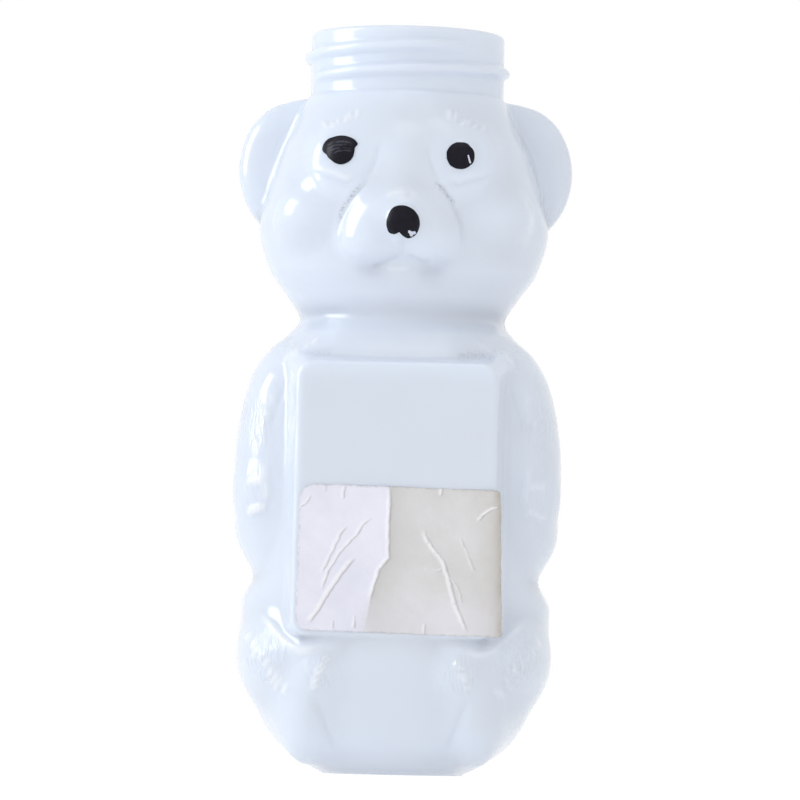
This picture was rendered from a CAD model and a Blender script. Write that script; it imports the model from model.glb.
"""The look of a bear-shaped honey bottle: milky moulded plastic, brushed black ink and a worn paper label.

The bear looks along -Y and stands on z = 0. Lengths are in millimetres, apart from those of the materials,
the lights and the camera, which are in metres.
"""

import math

import bpy
import numpy as np
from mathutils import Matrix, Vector


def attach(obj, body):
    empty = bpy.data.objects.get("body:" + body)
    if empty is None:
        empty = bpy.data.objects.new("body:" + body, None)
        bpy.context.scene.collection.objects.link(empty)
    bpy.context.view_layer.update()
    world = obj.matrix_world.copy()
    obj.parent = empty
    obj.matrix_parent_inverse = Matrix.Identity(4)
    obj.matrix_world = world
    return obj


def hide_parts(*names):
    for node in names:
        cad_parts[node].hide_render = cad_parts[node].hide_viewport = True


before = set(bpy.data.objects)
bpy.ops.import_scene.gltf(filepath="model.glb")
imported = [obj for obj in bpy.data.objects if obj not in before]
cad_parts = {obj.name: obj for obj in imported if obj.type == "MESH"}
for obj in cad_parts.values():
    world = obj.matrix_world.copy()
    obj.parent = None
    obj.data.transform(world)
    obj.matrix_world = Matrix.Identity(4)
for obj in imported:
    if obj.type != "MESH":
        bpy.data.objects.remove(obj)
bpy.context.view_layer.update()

MM = 0.001

# The body by height: height, width, depth and squareness of its outline (2 is an ellipse, more is squarer)
LEVELS = (
    (0.0, 25.0, 34.0, 2.3),
    (2.2, 33.4, 40.6, 2.3),
    (6.0, 42.8, 46.8, 2.4),
    (12.0, 49.8, 50.8, 2.4),
    (21.0, 55.8, 53.4, 2.35),
    (30.0, 55.8, 53.8, 2.3),
    (36.2, 50.8, 53.0, 2.9),
    (52.0, 52.6, 53.2, 2.7),
    (67.0, 50.6, 52.4, 2.85),
    (74.0, 47.0, 48.8, 2.8),
    (78.6, 41.6, 43.0, 2.5),
    (82.0, 37.0, 38.0, 2.0),
    (86.0, 41.6, 41.0, 2.0),
    (91.0, 48.4, 45.0, 2.1),
    (98.4, 52.4, 47.2, 2.1),
    (105.0, 49.4, 47.2, 2.35),
    (112.2, 45.0, 44.8, 2.35),
    (117.8, 39.8, 40.4, 2.15),
    (122.3, 36.0, 36.0, 2.0),
)

# The rounded swells of the body: centre, half sizes and the width of the crease round them.
# Those with a place to the side stand on both sides.
SWELLS = {
    "muzzle": ((0.0, -18.3, 98.6), (11.4, 9.0, 8.0), 1.6),
    "jowl": ((5.2, -19.0, 95.6), (6.4, 7.5, 5.6), 1.6),
    "bridge": ((0.0, -17.8, 106.0), (5.8, 6.2, 9.5), 2.4),
    "pouch": ((15.0, -13.6, 99.8), (8.0, 7.6, 6.4), 2.0),
    "ear": ((20.4, 4.0, 109.6), (9.95, 4.7, 12.4), 0.7),
    "ear_root": ((17.6, 3.2, 117.4), (4.8, 4.2, 5.2), 1.6),
    "eyelid": ((10.2, -19.2, 109.6), (5.3, 1.9, 5.2), 4.0),
    "pupil": ((10.6, -21.0, 110.8), (2.7, 1.3, 2.7), 0.5),
    "nose_pad": ((0.3, -25.8, 98.4), (4.2, 1.9, 3.9), 0.6),
    "nose": ((0.4, -27.2, 98.4), (3.0, 1.1, 2.9), 0.3),
    "arm": ((19.6, -5.5, 54.5), (9.85, 15.4, 23.5), 1.4),
    "shoulder": ((19.0, -8.0, 67.0), (7.5, 12.4, 8.5), 1.6),
    "elbow": ((21.3, -6.0, 44.0), (7.6, 10.0, 7.6), 1.6),
    "paw": ((24.0, -12.2, 50.0), (4.8, 6.6, 6.5), 2.4),
    "thigh": ((18.2, -6.1, 21.0), (9.9, 17.4, 11.0), 1.6),
    "knee": ((12.6, -17.2, 19.0), (6.6, 9.8, 8.2), 2.6),
    "foot": ((14.5, -14.4, 12.0), (6.2, 10.8, 10.5), 3.2),
}
SOLID_SWELLS = ("eyelid", "pupil", "nose_pad", "nose")
HOLLOW_SWELLS = tuple(name for name in SWELLS if name not in SOLID_SWELLS)

# The swells that lean back as they rise, and those with flatter fronts and backs, by a power above 2
LEANS = {"eyelid": 0.30, "pupil": 0.20}
FLAT = {"ear": 3.2, "arm": 2.5, "shoulder": 3.0}

# The flat panels on the front and back, the crease round them, and what their lower corners add to it
PANEL_REACH = 27.4
PANEL_LOW = 24.6
PANEL_HIGH = 73.0
PANEL_HALF = 17.7
PANEL_CORNER = 3.0
PANEL_DRAFT_ANGLE = math.radians(16.0)
PANEL_DEEP = 13.0
PANEL_EDGE = 0.6
PANEL_CREASE = 0.7
CORNER_CREASE = 4.5

# The screw neck, its thread and the wall
NECK_FOOT = 122.3
NECK_TOP = 134.3
NECK_RADIUS = 17.55
NECK_ROUND = 0.9
BORE_RADIUS = 16.05
BORE_FOOT = 120.6
BORE_ROUND = 0.4
THREAD_PITCH = 4.233
THREAD_START = math.radians(190)
THREAD_LOW = 125.55
THREAD_TURNS = 1.36
THREAD_HEIGHT = 1.08
THREAD_HALF_FOOT = 1.25
THREAD_HALF_CREST = 0.35
WALL = 0.9

# The shallow dome pushed up under the base
DOME_RISE = 1.4
DOME_HALF_WIDTH = 7.5
DOME_HALF_DEPTH = 10.0

# How fine the meshes are: the bottle's columns and the rows of its outside, an ink dab and the label
COLUMNS = 256
ROWS = 300
INK_COLUMNS = 96
INK_RINGS = 20
LABEL_COLUMNS = 220
LABEL_ROWS = 160


def ease(low, high, value):
    """From 0 to 1 as the value goes from low to high, with a soft start and end."""
    t = np.clip((value - low) / (high - low), 0, 1)
    return t * t * (3 - 2 * t)


def curve_through(places, values, grid):
    """A smooth curve through the values, which never swings past them, read off on a grid."""
    spans = np.diff(places)
    slopes = np.diff(values) / spans
    tangents = np.concatenate([slopes[:1], np.zeros(len(slopes) - 1), slopes[-1:]])
    for i, (before, after) in enumerate(zip(slopes, slopes[1:]), start=1):
        if before * after > 0:
            tangents[i] = 2 * before * after / (before + after)
    i = np.clip(np.searchsorted(places, grid, side="right") - 1, 0, len(spans) - 1)
    t = np.clip((grid - places[i]) / spans[i], 0, 1)
    ends = values[i] * (1 + 2 * t) * (1 - t) ** 2 + values[i + 1] * t * t * (3 - 2 * t)
    leans = tangents[i] * t * (1 - t) ** 2 + tangents[i + 1] * t * t * (t - 1)
    return ends + leans * spans[i]


GRID = np.arange(-1.0, 136.0, 0.05)
heights, widths, depths, squares = np.array(LEVELS).T
HALF_WIDTH = curve_through(heights, widths, GRID) / 2
HALF_DEPTH = curve_through(heights, depths, GRID) / 2
SQUARE = curve_through(heights, squares, GRID)


# The body's shape

def join(a, b, soft):
    """The two solids as one, with a soft crease between them. Distances are negative inside."""
    overlap = np.maximum(soft - np.abs(a - b), 0)
    return np.minimum(a, b) - overlap ** 2 / (4 * soft)


def meet(a, b, soft):
    """What the two solids share, with a soft edge."""
    return -join(-a, -b, soft)


def both_sides(centre):
    x, y, z = centre
    off_middle = abs(x) > 2
    return [(x, y, z), (-x, y, z)] if off_middle else [centre]


def swell_distance(name, centre, x, y, z):
    """Roughly how far a point lies outside one swell."""
    half = SWELLS[name][1]
    power = FLAT.get(name, 2)
    px = (x - centre[0]) / half[0]
    py = (y - centre[1] - LEANS.get(name, 0) * (z - centre[2])) / half[1]
    pz = (z - centre[2]) / half[2]
    wide = np.hypot(px, pz)
    deep = np.abs(py)
    inner = (wide ** power + deep ** power) ** (1 / power)
    wide_pull = wide ** (power - 2)
    deep_pull = deep ** (power - 2)
    pulls = (wide_pull * px / half[0], deep_pull * py / half[1], wide_pull * pz / half[2])
    slope = np.sqrt(sum(pull ** 2 for pull in pulls))
    return inner ** (power - 1) * (inner - 1) / np.maximum(slope, 1e-6)


def panel_distance(x, y, z, facing):
    """Roughly how far a point lies outside a flat panel's drafted block."""
    deep = PANEL_REACH - facing * y
    grow = math.tan(PANEL_DRAFT_ANGLE) * np.clip(deep, 0, PANEL_DEEP) - PANEL_CORNER
    middle = (PANEL_LOW + PANEL_HIGH) / 2
    over_x = np.abs(x) - PANEL_HALF - grow
    over_z = np.abs(z - middle) - (PANEL_HIGH - PANEL_LOW) / 2 - grow
    outside = np.hypot(np.maximum(over_x, 0), np.maximum(over_z, 0))
    outline = outside + np.minimum(np.maximum(over_x, over_z), 0)
    block = meet(-deep, (outline - PANEL_CORNER) * 0.93, PANEL_EDGE)
    return np.maximum(block, deep - PANEL_DEEP)


def bear(x, y, z, names=tuple(SWELLS)):
    """Roughly how far a point lies outside the bear's body."""
    half_width = np.interp(z, GRID, HALF_WIDTH)
    half_depth = np.interp(z, GRID, HALF_DEPTH)
    square = np.interp(z, GRID, SQUARE)
    out = ((np.abs(x) / half_width) ** square + (np.abs(y) / half_depth) ** square) ** (1 / square)
    distance = np.hypot(x, y) * (1 - 1 / np.maximum(out, 0.05)) * 0.9
    for name in names:
        centre, _, soft = SWELLS[name]
        for place in both_sides(centre):
            distance = join(distance, swell_distance(name, place, x, y, z), soft)
    corners = ease(25.5, 21.5, z) * ease(5, 12, np.abs(x))
    crease = PANEL_CREASE + CORNER_CREASE * corners
    for facing in (-1, 1):
        distance = join(distance, panel_distance(x, y, z, facing), crease)
    return distance


def halve(low, high, inside):
    """Where the body ends between a low place inside it and a high place outside it, by halving the gap."""
    for _ in range(22):
        middle = (low + high) / 2
        within = inside(middle)
        low = np.where(within, middle, low)
        high = np.where(within, high, middle)
    return (low + high) / 2


def reach(angle, z, depth=0.0, names=tuple(SWELLS)):
    """How far out the body reaches from its axis, at an angle and a height, under a depth of wall."""
    cos = np.cos(angle)
    sin = np.sin(angle)
    nearest = np.full(np.shape(z), 4.0)
    farthest = np.full(np.shape(z), 45.0)
    return halve(nearest, farthest, lambda r: bear(r * cos, r * sin, z, names) < -depth)


def front(x, z):
    """The y of the body's front at places seen from the front."""
    inner = np.full(np.shape(x), -8.0)
    outer = np.full(np.shape(x), -36.0)
    return halve(inner, outer, lambda y: bear(x, y, z) < 0)


def settle(points):
    """Move points straight onto the body's surface."""
    step = 0.02
    x, y, z = np.moveaxis(points, -1, 0)
    here = bear(x, y, z)
    slope = np.stack([
        bear(x + step, y, z) - here,
        bear(x, y + step, z) - here,
        bear(x, y, z + step) - here,
    ], axis=-1) / step
    size = np.maximum((slope ** 2).sum(-1), 0.2)
    return points - slope * np.clip(here / size, -1.5, 1.5)[..., None]


# The fine lines of the mould

def waves(points, seed, length, count=14):
    """Smooth random waves between about -1 and 1, with ups and downs of about one length."""
    draw = np.random.default_rng(seed)
    total = 0
    for _ in range(count):
        direction = draw.normal(size=points.shape[-1])
        direction *= 2 * math.pi / length / np.linalg.norm(direction) * draw.uniform(0.6, 1.4)
        total = total + np.sin(points @ direction + draw.uniform(0, 2 * math.pi))
    return total * math.sqrt(2 / count) / 1.6


def near_line(x, z, line, width, fade):
    """How near places are to a line through points: 1 on it, fading out to the sides and at both ends.

    The fade at each end is a share of the line's length.
    """
    line = np.array(line)
    lengths = np.hypot(*np.diff(line, axis=0).T)
    before = np.concatenate([[0], np.cumsum(lengths)])
    best = np.full(np.shape(x), 1e9)
    along = np.zeros(np.shape(x))
    for i, (start, end) in enumerate(zip(line, line[1:])):
        run = end - start
        t = np.clip(((x - start[0]) * run[0] + (z - start[1]) * run[1]) / (run @ run), 0, 1)
        away = np.hypot(x - start[0] - t * run[0], z - start[1] - t * run[1])
        along = np.where(away < best, (before[i] + t * lengths[i]) / before[-1], along)
        best = np.minimum(best, away)
    return np.exp(-(best / width) ** 2) * ease(0, fade, along) * ease(0, fade, 1 - along)


# Fine moulded lines on the bear's front, as seen from there: points, width, and height out of the surface.
# The first group is on both sides, and the second is near the middle.
PAIRED_LINES = (
    (((-5.1, 106.9), (-8.9, 102.3), (-11.0, 98.2), (-11.4, 93.1)), 0.45, -0.38),
    (((-16.8, 107.3), (-12.2, 106.0), (-10.0, 105.1), (-7.8, 105.7)), 0.5, -0.30),
    (((-4.2, 112.9), (-4.6, 109.9), (-5.7, 107.2), (-7.7, 105.6)), 0.5, -0.22),
    (((-15.6, 107.9), (-12.2, 106.9), (-10.0, 106.0), (-8.2, 106.6)), 0.6, 0.22),
    (((-20.1, 69.4), (-21.6, 65.0), (-22.5, 61.0)), 0.4, -0.22),
    (((-27.0, 51.9), (-23.2, 51.8)), 0.65, 0.50),
    (((-26.9, 46.0), (-22.8, 47.6)), 0.65, 0.50),
    (((-23.7, 55.6), (-23.3, 51.6), (-22.9, 47.8)), 0.55, 0.28),
    (((-24.2, 28.7), (-21.0, 25.4), (-17.9, 22.5), (-16.0, 21.6), (-12.5, 22.1)), 0.6, 0.45),
    (((-14.1, 14.5), (-12.0, 10.0), (-10.5, 6.0), (-9.4, 3.4)), 0.7, -0.35),
)
MIDDLE_LINES = (
    (((0.5, 95.6), (0.5, 92.4)), 0.55, -0.22),
    (((0.6, 92.3), (-1.2, 91.6), (-3.4, 90.6), (-5.6, 90.3)), 0.5, -0.30),
    (((0.6, 92.3), (2.2, 91.7), (3.8, 91.0), (5.8, 91.2)), 0.5, -0.30),
    (((-2.6, 90.2), (-0.3, 90.0), (2.0, 90.3)), 0.45, 0.28),
    (((-3.0, 102.6), (-1.0, 103.4), (1.4, 103.1)), 0.7, 0.25),
)
LINE_FADE = 0.25

# Tufts of short moulded hairs on both sides, on brows, shoulders, arms, thighs and knees: how many hairs,
# where the first and the last one start, the degrees that those two lean, and the length, width and height
TUFTS = (
    (6, (14.0, 114.6), (7.6, 116.9), (35, -5), 2.5, 0.34, 0.36),
    (5, (21.4, 72.0), (15.6, 76.0), (-25, -40), 3.2, 0.45, 0.25),
    (5, (22.2, 66.0), (24.6, 59.0), (12, 4), 3.0, 0.45, 0.22),
    (9, (25.6, 26.0), (17.6, 15.6), (160, 150), 3.6, 0.45, 0.42),
    (5, (10.4, 20.4), (12.8, 15.8), (70, 125), 2.0, 0.40, 0.48),
)
HAIR_FADE = 0.45

# Where grime has settled, as seen from the front: points, width and strength
GRIME = (
    (((-7.0, 105.2), (-8.6, 103.4), (-10.7, 100.6), (-11.3, 97.6)), 0.36, 0.9),
    (((5.6, 106.0), (7.6, 103.8), (9.7, 101.2)), 0.34, 0.8),
    (((-16.2, 74.5), (-11.4, 74.8)), 0.9, 0.35),
    (((9.8, 74.6), (14.0, 74.8), (17.6, 74.2)), 1.0, 0.45),
)
GRIME_FADE = 0.2

# Where the mould left a fine grain of fur, on both sides: place, half sizes and strength
FUR = (
    ((22.0, 20.5), (5.5, 7.0), 1.0),
    ((12.5, 18.0), (4.5, 4.5), 0.9),
    ((25.4, 62.5), (3.6, 7.5), 0.6),
    ((25.2, 49.5), (3.6, 7.0), 0.4),
    ((19.0, 75.0), (4.5, 3.5), 0.2),
)


def fur_strokes():
    """The hairs of all the tufts, each as a line, a width and a height."""
    draw = np.random.default_rng(7)
    strokes = []
    for side in (-1, 1):
        for count, first, last, leans, length, width, height in TUFTS:
            for i in range(count):
                t = (i + 0.5) / count
                x = side * (first[0] + (last[0] - first[0]) * t) + draw.normal() * 0.2
                z = first[1] + (last[1] - first[1]) * t + draw.normal() * 0.2
                long = length * draw.uniform(0.75, 1.25)
                tilt = math.radians(side * (leans[0] + (leans[1] - leans[0]) * t) + draw.normal() * 5)
                tip = (x + long * math.sin(tilt), z + long * math.cos(tilt))
                strokes.append((((x, z), tip), width, height))
    return strokes


def on_front(points):
    """1 on the bear's front, and 0 from its sides on."""
    return ease(-2, -8, points[..., 1])


def raised(points):
    """How far the fine moulded lines stand out of the surface, and how far handling has whitened them."""
    x, _, z = np.moveaxis(points, -1, 0)
    lines = [(np.array(line) * (side, 1), width, height, LINE_FADE)
             for line, width, height in PAIRED_LINES for side in (1, -1)]
    lines += [(*line, LINE_FADE) for line in MIDDLE_LINES]
    lines += [(*stroke, HAIR_FADE) for stroke in fur_strokes()]
    total = np.zeros(x.shape)
    white = np.zeros(x.shape)
    for line, width, height, fade in lines:
        near = near_line(x, z, line, width, fade)
        total += height * near
        white = np.maximum(white, near * min(max(height * 2, 0), 1))
    right_side = ease(5, -5, x)
    knees = ease(25, 22, z) * ease(16, 13, np.abs(x))
    worn = 0.25 + 0.75 * np.maximum(right_side, 0.7 * knees)
    uneven = 0.035 * waves(points, 3, 9.0)
    return total * on_front(points) + uneven, white * on_front(points) * worn


def grimy(points):
    """How much grime lies on the surface."""
    x, _, z = np.moveaxis(points, -1, 0)
    total = np.zeros(x.shape)
    for line, width, strong in GRIME:
        total = np.maximum(total, strong * near_line(x, z, line, width, GRIME_FADE))
    return total * on_front(points)


def furry(points):
    """How strong the grain of fur is on the surface."""
    x, _, z = np.moveaxis(points, -1, 0)
    total = np.zeros(x.shape)
    for (across, up), (half, tall), strong in FUR:
        away = np.hypot((np.abs(x) - across) / half, (z - up) / tall)
        total = np.maximum(total, strong * ease(1.0, 0.4, away))
    return total * on_front(points)


# Meshes

def add_mesh(name, points, faces):
    mesh = bpy.data.meshes.new(name)
    mesh.from_pydata((np.asarray(points) * MM).tolist(), [], faces)
    mesh.polygons.foreach_set("use_smooth", [True] * len(mesh.polygons))
    mesh.update()
    piece = bpy.data.objects.new(name, mesh)
    bpy.context.scene.collection.objects.link(piece)
    return piece


def paint(piece, name, values):
    """Keep a number for every point of a piece, for its material to read."""
    layer = piece.data.attributes.new(name, "FLOAT", "POINT")
    layer.data.foreach_set("value", np.asarray(values, dtype=np.float32).ravel())


def closed_tube_faces(rows, count):
    """Faces between rings of points that follow each other, and fans that close both ends.

    The middle points of the two fans follow the rings.
    """
    faces = []
    for row in range(rows - 1):
        low = row * count
        for column in range(count):
            after = (column + 1) % count
            faces.append((low + column, low + after, low + count + after, low + count + column))
    middle = rows * count
    last = middle - count
    for column in range(count):
        after = (column + 1) % count
        faces.append((middle, after, column))
        faces.append((middle + 1, last + column, last + after))
    return faces


def sheet_faces(rows, columns):
    """The faces of a thin sheet's front, back and rim. The points of the back follow those of the front."""
    back = rows * columns
    faces = []
    for row in range(rows - 1):
        for column in range(columns - 1):
            a = row * columns + column
            b = a + columns
            faces.append((a, a + 1, b + 1, b))
            faces.append((a + back, b + back, b + 1 + back, a + 1 + back))
    index = np.arange(back).reshape(rows, columns)
    rim = np.concatenate([index[0], index[1:, -1], index[-1, -2::-1], index[-2:0:-1, 0]]).tolist()
    for here, after in zip(rim, rim[1:] + rim[:1]):
        faces.append((here, here + back, after + back, after))
    return faces


# The bottle

def columns():
    """The angles of the mesh's columns, closest together on the bear's front."""
    turn = np.linspace(-math.pi, math.pi, 721)
    weight = 1.0 + 2.0 * ease(math.radians(112), math.radians(74), np.abs(turn))
    total = np.concatenate([[0], np.cumsum((weight[1:] + weight[:-1]) / 2)])
    even = np.arange(COLUMNS) / COLUMNS * total[-1]
    return np.interp(even, total, turn) - math.pi / 2


ANGLES = columns()


def row_weight(z):
    """How close together the mesh's rows are: closest on the face and at the panel's edges."""
    face = ease(86, 90, z) * ease(121, 117, z)
    edges = np.exp(-((z - PANEL_HIGH) / 2.2) ** 2) + np.exp(-((z - PANEL_LOW) / 2.2) ** 2)
    return 1.0 + 0.75 * face + 0.7 * edges


def wall_rows():
    """The outside of the body as rows of points, from the edge of the base to the foot of the neck."""
    levels = np.linspace(0.3, NECK_FOOT, 420)
    angle, z = np.meshgrid(ANGLES, levels)
    out = reach(angle, z)
    rows = np.empty((ROWS, COLUMNS, 3))
    for column, turn in enumerate(ANGLES):
        r = out[:, column]
        long = np.hypot(np.diff(r), np.diff(levels)) * row_weight((levels[1:] + levels[:-1]) / 2)
        total = np.concatenate([[0], np.cumsum(long)])
        even = np.linspace(0, total[-1], ROWS)
        at = np.interp(even, total, r)
        up = np.interp(even, total, levels)
        rows[:, column] = np.stack([at * math.cos(turn), at * math.sin(turn), up], -1)
    for _ in range(14):
        across = (np.roll(rows, 1, 1) + np.roll(rows, -1, 1))[1:-1] / 2
        upright = (rows[:-2] + rows[2:]) / 2
        rows[1:-1] += 0.6 * ((across + upright) / 2 - rows[1:-1])
        rows[1:-1] = settle(rows[1:-1])
    rows[1:-1] = settle(rows[1:-1])
    return rows


def outward(rows):
    """The directions that rows of points face."""
    across = np.roll(rows, -1, 1) - np.roll(rows, 1, 1)
    upright = np.empty_like(rows)
    upright[1:-1] = rows[2:] - rows[:-2]
    upright[0] = rows[1] - rows[0]
    upright[-1] = rows[-1] - rows[-2]
    facing = np.cross(across, upright)
    return facing / np.maximum(np.linalg.norm(facing, axis=-1, keepdims=True), 1e-9)


def ring(radius, z):
    return np.stack([radius * np.cos(ANGLES), radius * np.sin(ANGLES), z * np.ones(COLUMNS)], -1)


def thread(z):
    """How far the screw thread stands out of the neck round a ring at a height."""
    total = np.zeros(COLUMNS)
    turn = (ANGLES - THREAD_START) % (2 * math.pi)
    for lap in range(2):
        travelled = turn / (2 * math.pi) + lap
        middle = THREAD_LOW + THREAD_PITCH * travelled
        fade = ease(0, 0.08, travelled) * ease(0, 0.12, THREAD_TURNS - travelled)
        height = THREAD_HEIGHT * ease(THREAD_HALF_FOOT, THREAD_HALF_CREST, np.abs(z - middle))
        total = np.maximum(total, height * fade)
    return total


def neck_rows():
    """The neck's outside with its thread, the rounded rim and the bore."""
    rows = []
    for z in np.linspace(NECK_FOOT + 0.35, NECK_TOP - 1.0, 28):
        rows.append(ring(NECK_RADIUS + thread(z), z))
    for radius, size, start, end, count in (
        (NECK_RADIUS - NECK_ROUND, NECK_ROUND, 0, math.pi / 2, 6),
        (BORE_RADIUS + BORE_ROUND, BORE_ROUND, math.pi / 2, math.pi, 4),
    ):
        for t in np.linspace(start, end, count):
            rows.append(ring(radius + size * math.cos(t), NECK_TOP - size + size * math.sin(t)))
    for z in np.linspace(NECK_TOP - 2.0, BORE_FOOT, 5):
        rows.append(ring(BORE_RADIUS, z))
    return np.array(rows)


def room_rows():
    """The inside of the wall, from under the neck down to the floor."""
    levels = np.concatenate([np.linspace(BORE_FOOT - WALL, 4.0, 22), [2.6, 1.7]])
    angle, z = np.meshgrid(ANGLES, levels)
    out = reach(angle, z, WALL, HOLLOW_SWELLS)
    return np.stack([out * np.cos(angle), out * np.sin(angle), z], -1)


def floor_height(x, y):
    """The height of the base's underside: flat, with a shallow dome pushed up in its middle."""
    return DOME_RISE * np.sqrt(np.maximum(1 - (x / DOME_HALF_WIDTH) ** 2 - (y / DOME_HALF_DEPTH) ** 2, 0))


def base_rows(edge, shares, lift):
    """Rings that close the bottom, each at a share of the way from its middle to its edge."""
    rows = []
    for share in shares:
        x = edge[:, 0] * share
        y = edge[:, 1] * share
        rows.append(np.stack([x, y, floor_height(x, y) + lift], -1))
    return np.array(rows)


def make_bottle():
    """The moulded shell: its base, outside, neck and inside as one closed skin."""
    wall = wall_rows()
    hold = np.ones(ROWS)
    hold[-3:] = (0.6, 0.3, 0.0)
    lift, white = raised(wall)
    wall = wall + outward(wall) * (lift * hold[:, None])[..., None]
    base = base_rows(wall[0], np.linspace(0.08, 0.96, 9), 0.0)
    room = room_rows()
    floor = base_rows(room[-1], np.linspace(0.94, 0.1, 4), WALL)
    rows = np.concatenate([base, wall, neck_rows(), room, floor])
    middle = floor_height(0, 0)
    points = np.concatenate([rows.reshape(-1, 3), [[0, 0, middle], [0, 0, middle + WALL]]])
    piece = add_mesh("bottle", points, closed_tube_faces(len(rows), COLUMNS))
    start = len(base) * COLUMNS
    for name, marked in (("grime", grimy(wall)), ("fur", furry(wall)), ("white", white)):
        marks = np.zeros(len(points))
        marks[start:start + marked.size] = marked.ravel()
        paint(piece, name, marks)
    return piece


# The ink

# How thick the ink is at its edge, how much thicker in its middle and on a stroke, and how far it is sunk
INK_EDGE = 0.07
INK_RISE = 0.10
INK_RIDGE = 0.07
INK_SUNK = 0.10

# The outlines of the dabs, as offsets from their middles: a smeared eye, which is a round pupil under a
# wider stroke like a flat cap, and a nose. The other eye is a plain round dab.
SMEAR = (
    (-3.56, 0.20), (-3.28, 1.40), (-2.67, 2.15), (-1.45, 2.62), (0.0, 2.85), (1.2, 2.62), (2.25, 2.10),
    (2.98, 1.10), (2.30, 0.75), (2.25, -0.25), (1.85, -1.45), (1.0, -2.20), (-0.1, -2.50), (-1.25, -2.15),
    (-1.80, -1.70), (-2.45, -1.15), (-2.70, -0.62), (-3.28, -0.23),
)
NOSE = (
    (-0.39, 2.85), (-1.83, 2.45), (-2.65, 1.00), (-2.92, -0.82), (-2.45, -2.05), (-1.42, -2.30),
    (-0.60, -1.90), (0.0, -2.55), (1.03, -2.98), (2.25, -2.35), (2.85, -1.22), (2.98, 0.0), (2.45, 1.42),
    (1.24, 2.45),
)
EYE_RADIUS = 2.5

# Where the ink has chipped, and the brush strokes of the smear: lines in the same way, with widths
EYE_CHIPS = ((((1.35, 0.25), (1.55, -0.5), (1.85, -1.45)), 0.17),)
NOSE_CHIPS = ((((0.9, -1.7), (1.6, -2.1), (2.4, -1.9)), 0.30), (((1.2, -2.3), (1.8, -2.5)), 0.25))
SMEAR_CHIPS = ((((-2.6, -1.2), (-1.9, -1.9)), 0.16),)
SMEAR_STROKES = (
    (((-3.0, 0.9), (-1.6, 1.55), (0.2, 1.70), (2.2, 1.30)), 0.13),
    (((-2.9, 0.3), (-1.4, 0.95), (0.4, 1.10), (2.4, 0.80)), 0.12),
    (((-2.3, -0.1), (-1.0, 0.40), (0.6, 0.55), (2.1, 0.30)), 0.12),
    (((-1.5, -0.6), (-0.6, -0.05), (0.8, 0.05), (2.1, -0.10)), 0.10),
)


def round_dab(radius):
    """A round outline that wobbles a little."""
    count = 24
    far = radius * (1 + 0.03 * np.random.default_rng(1).normal(size=count))
    turn = np.arange(count) / count * 2 * math.pi
    return np.stack([far * np.cos(turn), far * np.sin(turn)], -1)


def nearest_line(x, z, lines, fade):
    """How near places are to the nearest of some lines with widths."""
    near = np.zeros(x.shape)
    for line, width in lines:
        near = np.maximum(near, near_line(x, z, line, width, fade))
    return near


def ink_dab(centre, outline, chips, strokes=()):
    """A dab of ink: a thin closed skin on the body's front, inside an outline of offsets from its centre.

    Its chips let the plastic show through, and its strokes are ridges of thicker ink.
    """
    outline = np.array(outline)
    turns = np.arctan2(outline[:, 1], outline[:, 0])
    order = np.argsort(turns)
    angle = np.linspace(-math.pi, math.pi, INK_COLUMNS, endpoint=False)
    edge = np.interp(angle, turns[order], np.hypot(*outline[order].T), period=2 * math.pi)
    edge = (edge * 2 + np.roll(edge, 1) + np.roll(edge, -1)) / 4
    share = np.sin(np.linspace(0.04, math.pi / 2, INK_RINGS))[:, None]
    over_x = share * edge * np.cos(angle)
    over_z = share * edge * np.sin(angle)
    ridges = nearest_line(over_x, over_z, strokes, 0.2)
    thick = INK_EDGE + INK_RISE * np.sqrt(np.maximum(1 - share ** 2, 0)) + INK_RIDGE * ridges
    x = centre[0] + over_x
    z = centre[1] + over_z
    y = front(x, z)
    top = np.stack([x, y - thick, z], -1)
    under = np.stack([x, y + INK_SUNK, z], -1)[::-1]
    deep = front(*np.array(centre)[:, None])[0]
    middles = [(centre[0], deep + off, centre[1]) for off in (-thick[0].mean(), INK_SUNK)]
    points = np.concatenate([top.reshape(-1, 3), under.reshape(-1, 3), middles])
    piece = add_mesh("ink", points, closed_tube_faces(2 * INK_RINGS, INK_COLUMNS))
    for name, marked in (("chip", nearest_line(over_x, over_z, chips, 0.1)), ("ridge", ridges)):
        marks = np.zeros(len(points))
        marks[:marked.size] = marked.ravel()
        paint(piece, name, marks)
    return piece


# The label

# Its size, place and tilt, how far it widens on its right, its left and right corners, its paper, how far its
# face stands off the panel, and the curl of its right edge: where it starts, and how far back it goes
LABEL_HALF_WIDTH = 17.75
LABEL_HALF_HEIGHT = 12.95
LABEL_MIDDLE = (0.8, 38.0)
LABEL_TILT = math.radians(-0.9)
LABEL_FLARE = 0.55
LABEL_ROUND = 2.5
LABEL_NICK = 0.5
LABEL_PAPER = 0.12
LABEL_STANDS = 0.16
CURL_START = 16.9
CURL_MOST = 1.1

# The label's main fold: its places up and across, and the height of its ridge
FOLD_UP = (25.8, 32.2, 35.9, 38.2, 51.0)
FOLD_ACROSS = (-4.8, -3.7, -2.5, -1.0, -1.0)
FOLD_RIDGE = 0.16

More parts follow.
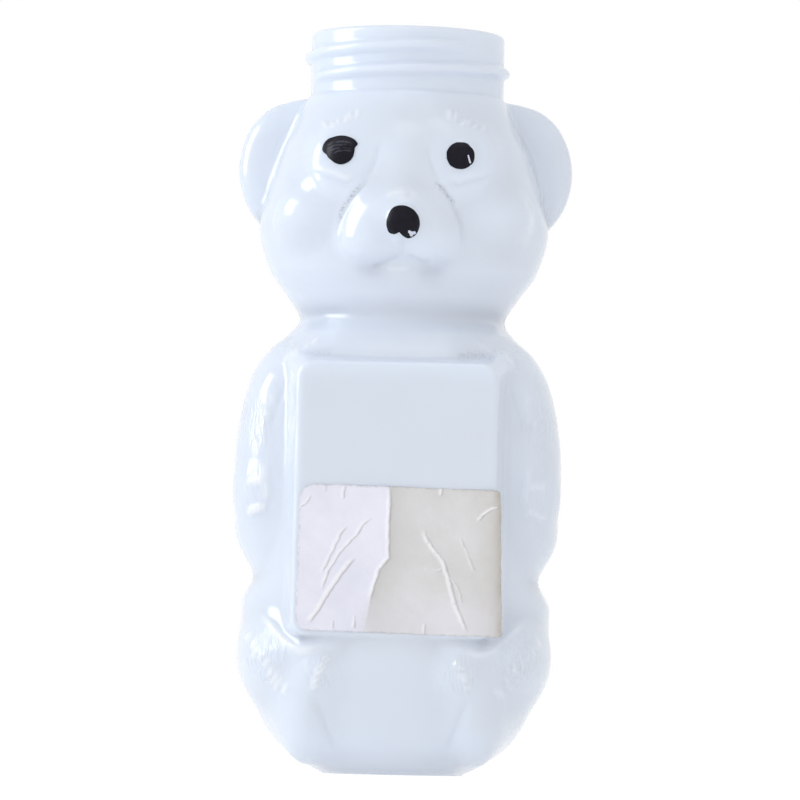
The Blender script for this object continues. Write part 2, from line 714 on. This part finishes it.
# The label's creases, as seen from the front: points, width and height
LABEL_CREASES = (
    (((-1.1, 51.4), (-1.0, 47.0), (-1.2, 43.7), (-1.0, 38.4), (-2.6, 36.6), (-3.6, 33.4), (-4.4, 30.0)),
     0.20, 0.20),
    (((-9.0, 51.5), (-9.3, 48.6)), 0.16, 0.14),
    (((-12.4, 51.5), (-12.5, 49.9)), 0.14, 0.12),
    (((8.0, 51.2), (8.1, 49.5)), 0.16, 0.16),
    (((-17.0, 47.0), (-15.8, 47.8), (-15.0, 49.3)), 0.14, 0.13),
    (((14.6, 45.2), (15.8, 46.6), (17.0, 47.4), (18.4, 47.7)), 0.17, 0.18),
    (((5.2, 44.0), (5.2, 42.6), (6.6, 40.4), (8.6, 38.0), (9.6, 35.0), (10.8, 30.6), (13.2, 25.2)),
     0.24, 0.18),
    (((5.4, 36.8), (6.4, 36.3), (7.6, 36.2), (8.8, 36.6)), 0.13, 0.10),
    (((-4.0, 45.6), (-5.8, 44.2), (-6.6, 42.6), (-9.6, 39.4), (-11.6, 36.0), (-13.0, 32.0)), 0.17, 0.14),
    (((-8.6, 44.0), (-9.8, 42.2), (-11.4, 38.6), (-12.9, 35.4)), 0.18, 0.13),
    (((-7.0, 38.6), (-9.2, 35.8), (-11.6, 32.2), (-13.6, 28.6), (-15.4, 26.4)), 0.26, 0.18),
    (((-6.8, 28.2), (-6.9, 25.8)), 0.15, 0.14),
    (((-10.6, 27.2), (-10.6, 25.8)), 0.14, 0.12),
    (((5.6, 26.9), (5.6, 25.0)), 0.14, 0.12),
    (((11.6, 42.4), (12.6, 40.2), (13.6, 37.6), (14.4, 36.2)), 0.13, 0.09),
    (((9.4, 35.6), (10.8, 34.4), (11.8, 32.4), (12.2, 30.4)), 0.13, 0.09),
)
CREASE_FADE = 0.12


def label_places():
    """Where the label's points lie, as seen from the front, in rows from its bottom edge up.

    Its two left corners are rounded, its edges are a little ragged, and it widens downwards on its right.
    """
    v = np.linspace(-1, 1, LABEL_ROWS) * LABEL_HALF_HEIGHT
    t = np.linspace(0, 1, LABEL_COLUMNS)

    def corner(radius):
        past = np.maximum(np.abs(v) - (LABEL_HALF_HEIGHT - radius), 0)
        return radius - np.sqrt(np.maximum(radius ** 2 - past ** 2, 0))

    edge = v[:, None] * np.array([1.0, 0.3])
    left = corner(LABEL_ROUND) - LABEL_HALF_WIDTH + 0.05 * waves(edge, 13, 4.0)
    right = LABEL_HALF_WIDTH - corner(LABEL_NICK) + LABEL_FLARE * (1 - v / LABEL_HALF_HEIGHT)
    right = right + 0.07 * waves(edge, 12, 6.0) + 0.04 * waves(edge, 14, 1.3)
    x = left[:, None] + (right - left)[:, None] * t
    across = np.stack([x, 0 * x], -1)
    rag = 0.05 * waves(across, 15, 7.0) + 0.02 * waves(across, 16, 1.5)
    z = v[:, None] + rag * ease(0.9, 1.0, np.abs(v) / LABEL_HALF_HEIGHT)[:, None]
    cos = math.cos(LABEL_TILT)
    sin = math.sin(LABEL_TILT)
    return x * cos - z * sin + LABEL_MIDDLE[0], z * cos + x * sin + LABEL_MIDDLE[1]


def make_label():
    """The paper label: a thin sheet with creases, one fold, and a right edge that curls back."""
    x, z = label_places()
    place = np.stack([x, z], -1)
    torn_x = x + 0.07 * waves(place, 23, 1.6)
    torn_z = z + 0.07 * waves(place, 24, 1.6)
    lift = 0.05 * waves(place, 21, 8.0) + 0.025 * waves(place, 22, 3.0)
    creases = np.zeros(x.shape)
    shades = np.zeros(x.shape)
    for line, width, height in LABEL_CREASES:
        strong = min(height * 6, 1)
        near = near_line(torn_x, torn_z, line, 1.4 * width, CREASE_FADE)
        beside_x = torn_x - 1.9 * width
        beside_z = torn_z + 0.4 * width
        beside = near_line(beside_x, beside_z, line, max(0.6 * width, 0.13), CREASE_FADE)
        creases = np.maximum(creases, strong * near)
        shades = np.maximum(shades, strong * beside)
        lift += 0.6 * height * near

    # The fold rises slowly on its left, falls off fast on its right, and grows softer towards the bottom
    fold = np.interp(z, FOLD_UP, FOLD_ACROSS)
    past = np.abs(x - fold)
    ridge = FOLD_RIDGE * (0.3 + 0.7 * ease(28, 34, z))
    lift += ridge * np.where(x < fold, np.exp(-past / 2.5), np.exp(-past / 0.5))
    soft = 0.12 + 2.2 * ease(34, 28, z)
    fold_side = ease(-soft, soft, torn_x - fold) * (1 - 0.35 * ease(35, 27, z))
    fold_shade = np.where(x < fold, 0, np.exp(-past / 4.0))

    # The right edge curls back, and its upper corner stands up
    curl = np.maximum(x - CURL_START, 0) ** 2 * 0.16 - 0.25 * ease(14.5, 17.5, x) * ease(44, 50, z)
    y = -PANEL_REACH - LABEL_STANDS - np.maximum(lift, -0.05) + np.minimum(curl, CURL_MOST)
    sides = [np.stack([x, y + off, z], -1).reshape(-1, 3) for off in (0, LABEL_PAPER)]
    piece = add_mesh("paper_label", np.concatenate(sides), sheet_faces(LABEL_ROWS, LABEL_COLUMNS))
    to_right = x[:, -1:] - x
    to_edge = np.minimum(np.minimum(x - x[:, :1], to_right), np.minimum(z - z[:1], z[-1:] - z))
    for name, values in (
        ("crease", creases),
        ("shade", shades),
        ("fold_side", fold_side),
        ("fold_shade", fold_shade),
        ("edge", to_edge),
        ("right", to_right),
    ):
        paint(piece, name, [values, values])
    return piece


# Materials

class Socket:
    """A shader socket that adds and multiplies like a number."""

    def __init__(self, tree, output=None):
        self.tree = tree
        self.output = output

    def feed(self, node, inputs):
        """Give a node its inputs: sockets as links, numbers and colours as they are."""
        for key, value in inputs.items():
            if isinstance(value, Socket):
                self.tree.links.new(value.output, node.inputs[key])
            else:
                node.inputs[key].default_value = value

    def make(self, kind, inputs, settings=(), output=0):
        """Add a node, set it up, feed its inputs, and give back one of its outputs."""
        node = self.tree.nodes.new(kind)
        for name, value in dict(settings).items():
            setattr(node, name, value)
        self.feed(node, inputs)
        return Socket(self.tree, node.outputs[output])

    def maths(self, operation, *values):
        return self.make("ShaderNodeMath", dict(enumerate(values)), {"operation": operation})

    def __add__(self, other):
        return self.maths("ADD", self, other)

    def __mul__(self, other):
        return self.maths("MULTIPLY", self, other)

    __radd__ = __add__
    __rmul__ = __mul__

    def ramp(self, low, high, start=0.0, end=1.0):
        """This value, eased from start to end as it goes from low to high."""
        inputs = {0: self, 1: low, 2: high, 3: start, 4: end}
        return self.make("ShaderNodeMapRange", inputs, {"interpolation_type": "SMOOTHSTEP"})

    def blend(self, a, b):
        """From colour a to colour b as this value goes from 0 to 1."""
        return self.make("ShaderNodeMix", {0: self, 6: a, 7: b}, {"data_type": "RGBA"}, 2)

    def place(self):
        """A place on the piece, in metres."""
        return self.make("ShaderNodeTexCoord", {}, output="Object")

    def noise(self, scale, detail, roughness=0.5):
        """Smooth noise, where this socket is a place."""
        inputs = {"Vector": self, "Scale": scale, "Detail": detail, "Roughness": roughness}
        return self.make("ShaderNodeTexNoise", inputs)

    def bump(self, strength, distance):
        """The surface's direction, with this value as its height."""
        inputs = {"Strength": strength, "Distance": distance, "Height": self}
        return self.make("ShaderNodeBump", inputs, output="Normal")

    def mark(self, name):
        """A number that is kept for every point of the piece."""
        return self.make("ShaderNodeAttribute", {}, {"attribute_name": name}, "Fac")

    def background_rays(self):
        """1 for the rays that see the background as white, and 0 for those that light the bottle."""
        kinds = ("Is Camera Ray", "Is Glossy Ray", "Is Transmission Ray")
        camera, glossy, transmission = (self.make("ShaderNodeLightPath", {}, output=kind) for kind in kinds)
        return camera + glossy + transmission


def material(name):
    """A new material, its own shader node, and a socket to start its values from."""
    made = bpy.data.materials.new(name)
    made.use_nodes = True
    return made, made.node_tree.nodes["Principled BSDF"], Socket(made.node_tree)


def milky_plastic():
    made, shader, start = material("milky plastic")
    place = start.place()
    dirt = start.mark("grime") * (place.noise(2300.0, 3.0, 0.55).ramp(0.42, 0.64) * 0.55 + 0.12)
    colour = (start.mark("white") * 0.75).blend((0.72, 0.785, 0.90, 1), (0.93, 0.95, 0.99, 1))
    colour = dirt.blend(colour, (0.28, 0.27, 0.26, 1))
    stretch = {"Vector": place, "Rotation": (0, 0.3, 0), "Scale": (2000, 900, 420)}
    hair = start.make("ShaderNodeMapping", stretch).noise(1.0, 2.0)
    height = place.noise(160.0, 2.0, 0.55) * 0.12 + hair * start.mark("fur")
    start.feed(shader, {
        "Base Color": colour,
        "Roughness": 0.16,
        "Normal": height.bump(0.6, 0.0008),
        "IOR": 1.5,
        "Subsurface Weight": 0.35,
        "Subsurface Radius": (1.0, 1.0, 1.0),
        "Subsurface Scale": 0.003,
    })
    return made


def brushed_ink():
    made, shader, start = material("brushed black ink")
    noise = start.place().noise(700.0, 3.0)
    black = noise.ramp(0.35, 0.7).blend((0.002, 0.002, 0.007, 1), (0.006, 0.005, 0.012, 1))
    black = (start.mark("ridge") * noise.ramp(0.3, 0.6)).blend(black, (0.075, 0.075, 0.10, 1))
    bare = (start.mark("chip") + noise * 0.3).ramp(0.60, 0.75)
    start.feed(shader, {
        "Base Color": bare.blend(black, (0.66, 0.70, 0.80, 1)),
        "Specular IOR Level": 0.18,
        "Roughness": noise.ramp(0.3, 0.7, 0.30, 0.42),
        "Normal": noise.bump(0.25, 0.0002),
    })
    return made


def worn_paper():
    made, shader, start = material("worn paper")
    place = start.place()
    cloud = place.noise(90.0, 4.0, 0.6)
    fibre = place.noise(1400.0, 4.0, 0.6)
    left = cloud.ramp(0.3, 0.7).blend((0.76, 0.76, 0.86, 1), (0.82, 0.82, 0.91, 1))
    right = cloud.ramp(0.3, 0.7).blend((0.66, 0.65, 0.64, 1), (0.73, 0.73, 0.74, 1))
    colour = start.mark("fold_side").blend(left, right)
    shadow = start.mark("fold_shade") * cloud.ramp(0.2, 0.6) * 0.5
    colour = shadow.blend(colour, (0.48, 0.46, 0.44, 1))
    to_right = start.mark("right")
    age = to_right.ramp(7.0, 0.0) * 0.25 + to_right.ramp(1.6, 0.0) * cloud.ramp(0.35, 0.65) * 0.5
    colour = age.blend(colour, (0.42, 0.36, 0.29, 1))
    rub = start.mark("edge").ramp(0.5, 0.0) * fibre.ramp(0.4, 0.6) * 0.4
    colour = rub.blend(colour, (0.44, 0.40, 0.36, 1))
    colour = (start.mark("shade") * 0.8).blend(colour, (0.36, 0.34, 0.35, 1))
    crease = start.mark("crease") * fibre.ramp(0.2, 0.5) * 0.9
    start.feed(shader, {
        "Base Color": crease.blend(colour, (0.90, 0.89, 0.92, 1)),
        "Roughness": 0.62,
        "Normal": fibre.bump(0.25, 0.0002),
    })
    return made


# The pieces

PLASTIC = milky_plastic()
INK = brushed_ink()
PAPER = worn_paper()

PIECES = {
    "bottle": (make_bottle(), "natural_plastic", PLASTIC),
    "right_eye_ink": (ink_dab((-11.0, 110.95), SMEAR, SMEAR_CHIPS, SMEAR_STROKES), "black_ink", INK),
    "left_eye_ink": (ink_dab((10.2, 110.5), round_dab(EYE_RADIUS), EYE_CHIPS), "black_ink", INK),
    "nose_ink": (ink_dab((0.35, 98.1), NOSE, NOSE_CHIPS), "black_ink", INK),
    "paper_label": (make_label(), "label_paper", PAPER),
}
for node, (piece, slot, look) in PIECES.items():
    piece.name = f"{node}_look"
    piece.data.materials.append(look)
    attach(piece, "root")
    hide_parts(node)


# The stage, the light and the camera

FLOOR_HALF = 4000.0
FLOOR_DROP = 0.05
LOOK_AT = Vector((0, 0, 0.08))


def make_floor():
    """A wide white floor, bright to the camera, which still takes the bottle's shadow."""
    corners = ((-1, -1), (1, -1), (1, 1), (-1, 1))
    points = [(x * FLOOR_HALF, y * FLOOR_HALF, -FLOOR_DROP) for x, y in corners]
    floor = add_mesh("floor", points, [(0, 1, 2, 3)])
    made, shader, start = material("white floor")
    start.feed(shader, {"Base Color": (0.9, 0.9, 0.9, 1), "Roughness": 0.9})
    lit = Socket(start.tree, shader.outputs[0])
    glow = start.make("ShaderNodeEmission", {"Color": (1, 1, 1, 1), "Strength": 1.12})
    share = start.background_rays() * 0.45 + 0.35
    mixed = start.make("ShaderNodeMixShader", {0: share, 1: lit, 2: glow})
    start.feed(start.tree.nodes["Material Output"], {"Surface": mixed})
    floor.data.materials.append(made)


def make_world():
    """White to the camera, and a plain soft light for everything else."""
    world = bpy.data.worlds.new("white room")
    world.use_nodes = True
    start = Socket(world.node_tree)
    level = start.background_rays().ramp(0.0, 1.0, 0.78, 1.0)
    start.feed(world.node_tree.nodes["Background"], {"Color": (1, 1, 1, 1), "Strength": level})
    bpy.context.scene.world = world


def area_light(name, place, size, power, colour=(1, 1, 1), diffuse=True, glossy=True):
    """A soft rectangular light that faces the bottle, and lights surfaces, shows in reflections, or both."""
    light = bpy.data.lights.new(name, "AREA")
    light.shape = "RECTANGLE"
    light.size, light.size_y = size
    light.energy = power
    light.color = colour
    item = bpy.data.objects.new(name, light)
    item.location = place
    item.rotation_euler = (LOOK_AT - Vector(place)).to_track_quat("-Z", "Y").to_euler()
    item.visible_diffuse = diffuse
    item.visible_glossy = glossy
    bpy.context.scene.collection.objects.link(item)


def make_camera():
    """A long lens a little over a metre away, near the ground, with a slight roll."""
    camera = bpy.data.cameras.new("camera")
    camera.lens = 273.0
    camera.sensor_width = 36.0
    camera.dof.use_dof = False
    view = bpy.data.objects.new("camera", camera)
    view.location = (0.0224, -1.0998, 0.010)
    view.rotation_mode = "XYZ"
    view.rotation_euler = [math.radians(turn) for turn in (90 + 3.01, -1.30, 1.1)]
    bpy.context.scene.collection.objects.link(view)
    bpy.context.scene.camera = view


make_floor()
make_world()
area_light("window", (-0.95, -0.125, 0.45), (0.52, 0.70), 3.2, (0.78, 0.88, 1.0))
area_light("window shine", (-0.96, -0.125, 0.45), (0.52, 0.70), 5.0, diffuse=False)
area_light("ceiling", (0.05, -0.35, 1.1), (0.5, 0.4), 0.6)
area_light("low bounce", (-0.20, -0.60, 0.05), (0.6, 0.08), 0.38, glossy=False)
make_camera()
bpy.context.scene.view_settings.view_transform = "Standard"
